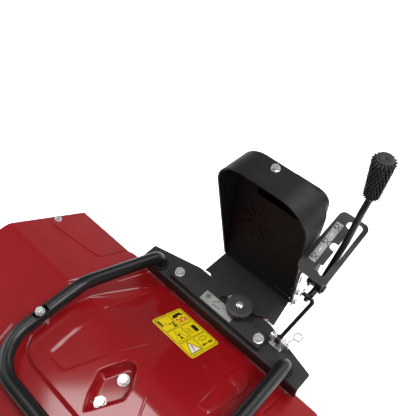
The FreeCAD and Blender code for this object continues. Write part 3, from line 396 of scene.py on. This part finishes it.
def make_deck():
    """Fine grid on top, a coarse one below, and fans between their edges."""
    step, wide, long = 6, 56, 44
    cols, rows = step * wide, step * long

    def point(i, j, drop):
        t = j / rows
        eased = 0.86 * t + 0.14 * (0.5 - 0.5 * math.cos(math.pi * t))
        y = DECK_FRONT + (DECK_REAR - DECK_FRONT) * eased
        half = deck_half_width(y)
        x = half * (2 * i / cols - 1)
        edge = min(half - abs(x), y - DECK_FRONT, DECK_REAR - y)
        if drop:
            return at(x, y, deck_height(x, y) - (RIM_TO_BACK if edge < 0.01 else TOP_TO_BACK))
        return at(x, y, deck_height(x, y))

    verts = [point(i, j, False) for j in range(rows + 1) for i in range(cols + 1)]
    shift = len(verts)
    verts += [point(i * step, j * step, True) for j in range(long + 1) for i in range(wide + 1)]

    def fine(i, j):
        return j * (cols + 1) + i

    def coarse(i, j):
        return shift + j * (wide + 1) + i

    faces = [(fine(i, j), fine(i + 1, j), fine(i + 1, j + 1), fine(i, j + 1))
             for j in range(rows) for i in range(cols)]
    faces += [(coarse(i, j), coarse(i, j + 1), coarse(i + 1, j + 1), coarse(i + 1, j))
              for j in range(long) for i in range(wide)]
    for i in range(wide):
        for j, order in ((0, 1), (long, -1)):
            run = [fine(i * step + n, j * step) for n in range(step + 1)]
            faces.append(tuple(([coarse(i, j), coarse(i + 1, j)] + run[::-1])[::order]))
    for j in range(long):
        for i, order in ((wide, 1), (0, -1)):
            run = [fine(i * step, j * step + n) for n in range(step + 1)]
            faces.append(tuple(([coarse(i, j), coarse(i, j + 1)] + run[::-1])[::order]))
    obj = piece("deck_pressing", mesh_from("deck_pressing", verts, faces), red, "frame",
                angle=75)
    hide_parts("deck_panel")


# ---------------------------------------------------------------- lever grip and clamp knob
def make_grip():
    """Tapered grip with staggered rows of wedge-shaped teeth."""
    low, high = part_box("lever_grip")
    center = (low + high) / 2
    length = high.z - low.z
    slices, around, bands, teeth = 176, 216, 11, 18
    core, core_growth = 0.0080, 0.0043
    reach_low, reach_growth = 0.0047, 0.0009

    def row(t, radius):
        turn = (2 * math.pi * i / around for i in range(around))
        return [Vector((center.x + radius(a) * math.cos(a), center.y + radius(a) * math.sin(a),
                        low.z + t * length)) for a in turn]

    rows = [row(t, lambda a, r=r: r) for t, r in ((0.0, 0.0062), (0.0, 0.0088), (0.02, 0.0092))]
    for j in range(slices + 1):
        t = 0.03 + 0.935 * j / slices
        base = core + core_growth * min(1.0, t / 0.94)
        reach = reach_low + reach_growth * t
        place = t / 0.965 * bands
        lean = (place % 1.0 - 0.5) * 2
        stagger = 0.5 * (int(place) % 2)

        def radius(a, base=base, reach=reach, lean=lean, stagger=stagger):
            cell = (a / (2 * math.pi) * teeth + stagger) % 1.0 * 2 - 1
            peak = max(0.0, 1 - abs(cell) * 1.5) * max(0.0, 1 - abs(lean) ** 1.5 * 1.2)
            return base + reach * min(1.0, peak * 1.9)
        rows.append(row(t, radius))
    for t, r in [(0.972, 0.0124), (0.985, 0.0126), (0.995, 0.0124), (1.0, 0.0116), (1.0, 0.0030),
                 (0.996, 0.0024), (0.985, 0.0020), (0.975, 0.0010)]:
        rows.append(row(t, lambda a, r=r: r))
    obj = piece("toothed_grip", tube_mesh("toothed_grip", rows), rubber, "lever",
                angle=40)
    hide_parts("lever_grip")


def make_knob():
    """Clamp knob turned from a profile of (height, radius, groove depth share)."""
    low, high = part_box("clamp_knob")
    cx, cy = (low.x + high.x) / 2, (low.y + high.y) / 2
    around, grooves, groove_depth = 240, 40, 0.0011
    z0, z1 = low.z, high.z
    profile = [(z0, 0.0052, 0), (z0, 0.0092, 0), (z1 - 0.0145, 0.0095, 0), (z1 - 0.0140, 0.0225, 0),
               (z1 - 0.0130, 0.0243, 0.6), (z1 - 0.0110, 0.0250, 1), (z1 - 0.0035, 0.0250, 1),
               (z1 - 0.0013, 0.0246, 0.7), (z1 - 0.0003, 0.0236, 0.3), (z1, 0.0226, 0),
               (z1 - 0.0002, 0.0160, 0), (z1 - 0.0003, 0.0085, 0), (z1 - 0.0001, 0.0070, 0),
               (z1 - 0.0008, 0.0062, 0),
               (z1 - 0.0030, 0.0060, 0), (z1 - 0.0030, 0.0052, 0)]
    rows = []
    for z, r, grooved in profile:
        row = []
        for i in range(around):
            a = 2 * math.pi * i / around
            wave = 0.5 + 0.5 * math.cos(grooves * a)
            groove = smoothstep(0.55, 0.95, wave) * groove_depth * grooved
            row.append(Vector((cx + (r - groove) * math.cos(a), cy + (r - groove) * math.sin(a),
                               z)))
        rows.append(row)
    verts = [p for row in rows for p in row]
    faces = []
    for j in range(len(rows)):
        nxt = (j + 1) % len(rows)
        for i in range(around):
            k = (i + 1) % around
            faces.append((j * around + i, j * around + k, nxt * around + k, nxt * around + i))
    obj = piece("knurled_knob", mesh_from("knurled_knob", verts, faces), knob_black, "knob",
                angle=40)
    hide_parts("clamp_knob")


make_deck()
make_grip()
make_knob()


# ---------------------------------------------------------------- marks, welds, small metal
def strip(points, width, closed=False):
    """Quads along a line of the given width."""
    count = len(points)
    sides = []
    for i, (x, y) in enumerate(points):
        before = points[i - 1] if closed or i else points[i]
        after = points[(i + 1) % count] if closed or i < count - 1 else points[i]
        dx, dy = after[0] - before[0], after[1] - before[1]
        size = math.hypot(dx, dy) or 1.0
        nx, ny = -dy / size * width / 2, dx / size * width / 2
        sides.append(((x + nx, y + ny), (x - nx, y - ny)))
    last = count if closed else count - 1
    return [[sides[i][0], sides[i][1], sides[(i + 1) % count][1], sides[(i + 1) % count][0]]
            for i in range(last)]


def rounded(x0, y0, x1, y1, radius, steps=6):
    """Outline of a rectangle with round corners."""
    loop = []
    for cx, cy, start in ((x1 - radius, y1 - radius, 0), (x0 + radius, y1 - radius, 90),
                          (x0 + radius, y0 + radius, 180), (x1 - radius, y0 + radius, 270)):
        for n in range(steps + 1):
            a = math.radians(start + 90 * n / steps)
            loop.append((cx + radius * math.cos(a), cy + radius * math.sin(a)))
    return loop


def disc(x, y, radius, count=18, squash=1.0):
    """Outline of a circle, or of an ellipse when squashed."""
    return [(x + radius * math.cos(2 * math.pi * i / count),
             y + squash * radius * math.sin(2 * math.pi * i / count)) for i in range(count)]


def bar(x0, y0, x1, y1, width):
    """One straight stroke."""
    return strip([(x0, y0), (x1, y1)], width)


def printed(name, polygons, place, mat, body, low=0.0, high=0.07):
    """Flat ink shapes, given as outlines in the label's own plane, in millimetres."""
    verts, faces = [], []
    for outline in polygons:
        count = len(outline)
        start = len(verts)
        verts += [place(u, w, low) for u, w in outline] + [place(u, w, high) for u, w in outline]
        faces.append(tuple(range(start, start + count))[::-1])
        faces.append(tuple(range(start + count, start + 2 * count)))
        for i in range(count):
            k = (i + 1) % count
            faces.append((start + i, start + k, start + count + k, start + count + i))
    mesh = mesh_from(name, verts, faces)
    shape = bmesh.new()
    shape.from_mesh(mesh)
    bmesh.ops.recalc_face_normals(shape, faces=shape.faces)
    shape.to_mesh(mesh)
    shape.free()
    return piece(name, mesh, mat, body, smooth=False)


LABEL_TOP = 2.9                            # the caution label's face above the ramp
RAMP_COS, RAMP_SIN = 0.8233, 0.5676        # of the ramp's slope


def on_caution(u, w, h):
    """u runs to the right and w up, as the label is read from the machine's right side."""
    x, t = -14 - w, u
    return at(x, -84.5 + RAMP_COS * t + RAMP_SIN * (LABEL_TOP + h),
              0.78 - RAMP_SIN * t + RAMP_COS * (LABEL_TOP + h))


def caution_marks():
    black_marks, red_marks, white_marks = [], [], []
    black_marks += strip(rounded(-39.6, -49.8, 39.6, 49.8, 4.5), 0.7, True)
    cells = {}
    for row_index, (w0, w1) in enumerate(((17.2, 47.6), (-15.2, 15.2), (-47.6, -17.2))):
        for column, (u0, u1) in enumerate(((-37.6, -1.2), (1.2, 37.6))):
            black_marks += strip(rounded(u0, w0, u1, w1, 3.5), 0.8, True)
            cells[row_index, column] = ((u0 + u1) / 2, (w0 + w1) / 2)
    u, w = cells[0, 0]      # two blocks with an arrow between them: keep clear
    black_marks += bar(u - 13, w - 3, u - 13, w + 9, 4.6) + [disc(u - 13, w + 10.5, 3.0)]
    black_marks += bar(u - 16, w + 3, u - 9, w + 6, 2.2) + bar(u - 8, w + 1, u + 6, w - 3, 1.0)
    black_marks += [[(u + 9.5, w - 4.2), (u + 5, w - 0.6), (u + 4, w - 5.0)]]
    black_marks += bar(u + 13, w - 12, u + 13, w - 1, 4.0) + bar(u + 9, w - 12, u + 17, w - 12, 3.0)
    u, w = cells[0, 1]      # a hand-like wedge over hot spots
    black_marks += [[(u - 15, w + 4), (u - 12, w + 11), (u + 9, w + 12), (u + 15, w + 6),
                     (u + 12, w + 3.5), (u + 2, w + 7), (u - 4, w + 3)]]
    for n in range(4):
        red_marks.append(disc(u - 10 + 6.6 * n, w - 2 - 2.6 * (n % 2), 2.9, 6))
        red_marks.append(disc(u - 8 + 6.6 * n, w - 9, 2.3, 6))
        white_marks.append(disc(u - 6.7 + 6.6 * n, w - 4.4, 1.5, 5))
    u, w = cells[1, 0]      # triangle with an hourglass-shaped rotor
    black_marks += strip([(u, w + 12), (u - 14.5, w - 11.5), (u + 14.5, w - 11.5)], 1.5, True)
    black_marks += [[(u - 4.5, w + 2.5), (u + 4.5, w + 2.5), (u + 0.9, w - 3.2), (u + 4.6, w - 9),
                     (u - 4.6, w - 9), (u - 0.9, w - 3.2)]]
    u, w = cells[1, 1]      # open booklet and a solid block
    black_marks += [[(u + 2, w - 9), (u + 13, w - 9), (u + 13, w + 7), (u + 2, w + 7)]]
    for n in range(5):
        black_marks += bar(u - 15, w + 6 - 3.2 * n, u - 3, w + 4.5 - 3.2 * n, 0.7)
    u, w = cells[2, 0]      # white triangle with a red mark
    black_marks += strip([(u, w + 12.5), (u - 15, w - 11.5), (u + 15, w - 11.5)], 2.8, True)
    white_marks += [[(u, w + 10), (u - 12.8, w - 10.2), (u + 12.8, w - 10.2)]]
    red_marks += [[(u - 1.2, w - 4.2), (u + 1.6, w - 4.2), (u + 3.2, w + 4.2), (u + 0.2, w + 4.6)],
                  disc(u - 1.2, w - 6.8, 1.7, 10)]
    u, w = cells[2, 1]      # ear and eye protection
    black_marks += strip(disc(u, w + 5.5, 12, 24, 0.42), 0.8, True)
    black_marks += strip(disc(u, w + 5.5, 8.5, 24, 0.32), 0.6, True)
    black_marks += [disc(u - 11, w - 7, 3.0, 12), disc(u - 5, w - 7, 2.0, 10),
                    disc(u + 6, w - 7, 2.4, 12), disc(u + 11.5, w - 7, 2.9, 12)]
    black_marks += bar(u - 10, w - 7, u + 11, w - 7, 1.4)
    for color_name, marks, ink, high in (("white", white_marks, ink_white, 0.06),
                                         ("black", black_marks, ink_black, 0.09),
                                         ("red", red_marks, ink_red, 0.12)):
        printed("caution_marks_" + color_name, marks, on_caution, ink, "frame",
                0.0, high)


GATE_TILT = math.radians(21)
GATE_FILM = 0.4            # thickness of the gate's label


def on_gate(u, s, h):
    """u runs across the gate plate and s up its slope."""
    a = GATE_TILT
    return at(135.5 + u, 134.5 + s * math.cos(a) - (h + GATE_FILM) * math.sin(a),
              208 + s * math.sin(a) + (h + GATE_FILM) * math.cos(a))


def gate_marks():
    dark, pale = [], []
    for s in (13.5, -16.5, -46.5):
        dark += [[(-31.2, s - 4.2), (-27.6, s - 4.2), (-27.6, s - 0.8), (-31.2, s - 0.8)],
                 [(-31.2, s + 0.6), (-27.4, s + 4.4), (-31.2, s + 4.4)]]
        dark += strip([(-27.2, s - 4.6), (-24.2, s), (-27.2, s + 4.6)], 1.3)
        dark += strip([(-20.2, s - 4.6), (-23.6, s), (-20.2, s + 4.6)], 1.5)
    for s in (-1.5, -31.5):
        pale += [[(-26.4, s - 3.4), (-25.0, s - 3.4), (-25.0, s + 3.4), (-26.4, s + 3.4)]]
    dark += strip(rounded(-32.2, -54.7, -19.3, 21.7, 0.8, 3), 0.35, True)
    printed("gate_marks_dark", dark, on_gate, ink_black, "chute", 0.0, 0.08)
    printed("gate_marks_pale", pale, on_gate, ink_white, "chute", 0.0, 0.08)


PLATE_FILM_TOP = 14.4      # face of the clamp bar's label


def on_plate(u, w, h):
    """u runs across the clamp bar and w towards the chute."""
    return at(u, w, PLATE_FILM_TOP + h)


def plate_marks():
    hub_u, hub_w = -31, -5      # a six-bladed fan
    dark = strip(disc(hub_u, hub_w, 5.2, 20), 1.1, True) + [disc(hub_u, hub_w, 1.6, 12)]
    for n in range(6):
        a = math.radians(60 * n)
        dark += bar(hub_u + 1.5 * math.cos(a), hub_w + 1.5 * math.sin(a),
                    hub_u + 4.8 * math.cos(a), hub_w + 4.8 * math.sin(a), 1.3)
    for n in range(5):
        dark += bar(-38 + 3.6 * n, -14.5, -36.2 + 3.6 * n, -14.5, 1.1)
    dark += strip([(-16, -10), (-12, -3), (-7, -1)], 1.6) + [[(-5, 0.2), (-8.6, 1.2), (-7.6, -3.0)]]
    dark += bar(-13, -14, -8, -10, 1.4) + bar(-8, -14, -3, -9, 1.4) + bar(-2, -14, 3, -9, 1.4)
    dark += strip(rounded(-40, -18.2, 33, 2.2, 1.0, 3), 0.3, True)
    printed("plate_marks_dark", dark, on_plate, ink_grey, "frame", 0.0, 0.07)
    swoosh = strip([(-20, -4), (-12, 0), (-2, 0.6), (8, -1)], 0.9)
    printed("plate_marks_gold", swoosh, on_plate, label_yellow, "frame", 0.0,
            0.07)


def weld_ring(name, center, radius, bead, tilt):
    """Stacked-coin weld bead round a tube's foot."""
    around, minor, coins = 180, 12, 11
    verts, faces = [], []
    for i in range(around):
        a = 2 * math.pi * i / around
        puddle = abs(math.sin(a * coins + 0.35 * math.sin(3 * a)))
        jitter = noise.noise(Vector((math.cos(a), math.sin(a), tilt)) * 3)
        size = bead * (0.74 + 0.34 * puddle ** 0.6 + 0.10 * jitter)
        for k in range(minor):
            b = 2 * math.pi * k / minor
            r = radius + size * 0.55 * math.cos(b)
            verts.append(at(center[0] + r * math.cos(a), center[1] + r * math.sin(a),
                            center[2] + size * 0.75 * math.sin(b) + tilt * math.sin(a)))
    for i in range(around):
        for k in range(minor):
            n, m = (i + 1) % around, (k + 1) % minor
            faces.append((i * minor + k, n * minor + k, n * minor + m, i * minor + m))
    piece(name, mesh_from(name, verts, faces), black_tube, "frame", angle=60)


def knob_nut():
    """Domed hex nut on the clamp knob's stud."""
    low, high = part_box("clamp_knob")
    cx, cy = (low.x + high.x) / 2, (low.y + high.y) / 2
    around = 72
    profile = ((-0.0006, 0.0065, 0.0), (0.0016, 0.0065, 0.0), (0.0024, 0.0063, 0.5),
               (0.0028, 0.0058, 1.0), (0.0036, 0.0040, 1.0), (0.0040, 0.0015, 1.0))
    rows = []
    for z, flat, round_part in profile:
        row = []
        for i in range(around):
            a = 2 * math.pi * i / around
            hexed = flat / math.cos((a + math.pi / 6) % (math.pi / 3) - math.pi / 6)
            r = hexed * (1 - round_part) + flat * round_part
            row.append(Vector((cx + r * math.cos(a), cy + r * math.sin(a), high.z + z)))
        rows.append(row)
    piece("knob_nut", tube_mesh("knob_nut", rows), zinc, "knob", angle=30)


def slide_crescent():
    """Plated washer edge showing beside the clamp knob."""
    verts, faces = [], []
    steps, outer = 28, 8.2
    low, high = 6.3, 7.0
    for i in range(steps + 1):
        a = math.radians(95 + 150 * i / steps)
        swell = math.sin(math.pi * i / steps)
        inner = outer - 2.9 * swell - 0.2
        for r, z in ((outer, low), (outer - 0.3, high), (inner + 0.3 * swell, high),
                     (inner, low)):
            verts.append(at(3 + r * math.cos(a), 24 + r * math.sin(a), z))
    for i in range(steps):
        for k in range(4):
            m = (k + 1) % 4
            faces.append((i * 4 + k, i * 4 + m, i * 4 + 4 + m, i * 4 + 4 + k))
    faces += [(0, 1, 2, 3)[::-1], tuple(steps * 4 + k for k in range(4))]
    piece("slide_washer_edge", mesh_from("slide_washer_edge", verts, faces), zinc, "frame",
          angle=30)


TUBE_ROOT_X, TUBE_ROOT_Y, TUBE_ROOT_Z = 157.6, -12.1, 1.2
WELD_RADIUS, WELD_BEAD = 13.8, 4.6

caution_marks()
gate_marks()
plate_marks()
weld_ring("tube_weld_near", (TUBE_ROOT_X, TUBE_ROOT_Y, TUBE_ROOT_Z), WELD_RADIUS, WELD_BEAD, 0.5)
weld_ring("tube_weld_far", (-TUBE_ROOT_X, TUBE_ROOT_Y, TUBE_ROOT_Z), WELD_RADIUS, WELD_BEAD, -0.5)
slide_crescent()
knob_nut()

# ---------------------------------------------------------------- floor, lights and camera
FLOOR_HALF = 20            # metres
PALE = (0.93, 0.93, 0.93)

floor_corners = [(-FLOOR_HALF, -FLOOR_HALF, 0), (FLOOR_HALF, -FLOOR_HALF, 0),
                 (FLOOR_HALF, FLOOR_HALF, 0), (-FLOOR_HALF, FLOOR_HALF, 0)]
floor_mesh = mesh_from("floor", floor_corners, [(0, 1, 2, 3)])
floor = bpy.data.objects.new("floor", floor_mesh)
bpy.context.collection.objects.link(floor)
floor_mat, _, _, floor_shader = new_material("studio_floor", PALE, 0.9)
floor_shader.inputs["Emission Color"].default_value = (1, 1, 1, 1)
floor_shader.inputs["Emission Strength"].default_value = 0.8
floor_mesh.materials.append(floor_mat)

world = bpy.data.worlds.new("studio")
bpy.context.scene.world = world
world.use_nodes = True
world_nodes, world_links = world.node_tree.nodes, world.node_tree.links
dim = world_nodes["Background"]             # what the sky gives as light
dim.inputs["Color"].default_value = (1, 1, 1, 1)
dim.inputs["Strength"].default_value = 0.12
pale = world_nodes.new("ShaderNodeBackground")   # what stands behind the object in the picture
pale.inputs["Color"].default_value = (*PALE, 1)
chooser = world_nodes.new("ShaderNodeMixShader")
path = world_nodes.new("ShaderNodeLightPath")
world_links.new(path.outputs["Is Camera Ray"], chooser.inputs[0])
world_links.new(dim.outputs[0], chooser.inputs[1])
world_links.new(pale.outputs[0], chooser.inputs[2])
world_links.new(chooser.outputs[0], world_nodes["World Output"].inputs["Surface"])


def area_light(name, place, target, width, height, power):
    """Rectangular light in metres and watts, facing its target."""
    data = bpy.data.lights.new(name, "AREA")
    data.shape = "RECTANGLE"
    data.size, data.size_y, data.energy = width, height, power
    obj = bpy.data.objects.new(name, data)
    bpy.context.collection.objects.link(obj)
    obj.location = place
    obj.rotation_euler = (Vector(target) - Vector(place)).to_track_quat("-Z", "Y").to_euler()
    return obj


CAMERA_SWING = 43.676      # degrees about Z

gloss = area_light("softbox_gloss", (-0.615, -0.145, 3.0), (-0.615, -0.145, 0.0), 0.92, 0.90, 20)
gloss.rotation_euler = (0, 0, math.radians(43.7))
area_light("softbox_key", (1.55, 0.55, 2.8), (0.0, 0.0, 0.4), 1.3, 1.3, 60)
area_light("softbox_left", (-2.5, -0.9, 1.8), (0, 0, 0.4), 1.3, 1.3, 26)
area_light("softbox_back", (0.9, 3.2, 2.4), (0, 0, 0.5), 2.2, 1.8, 44)

camera_data = bpy.data.cameras.new("camera")
camera_data.lens = 43.49
camera_data.sensor_width = 36
camera = bpy.data.objects.new("camera", camera_data)
bpy.context.collection.objects.link(camera)
camera.location = at(293.5, -346.0, 857.0)
camera.rotation_euler = (math.radians(39.104), 0, math.radians(CAMERA_SWING))
camera_data.clip_start = 0.02
bpy.context.scene.camera = camera
bpy.context.scene.view_settings.view_transform = "Standard"
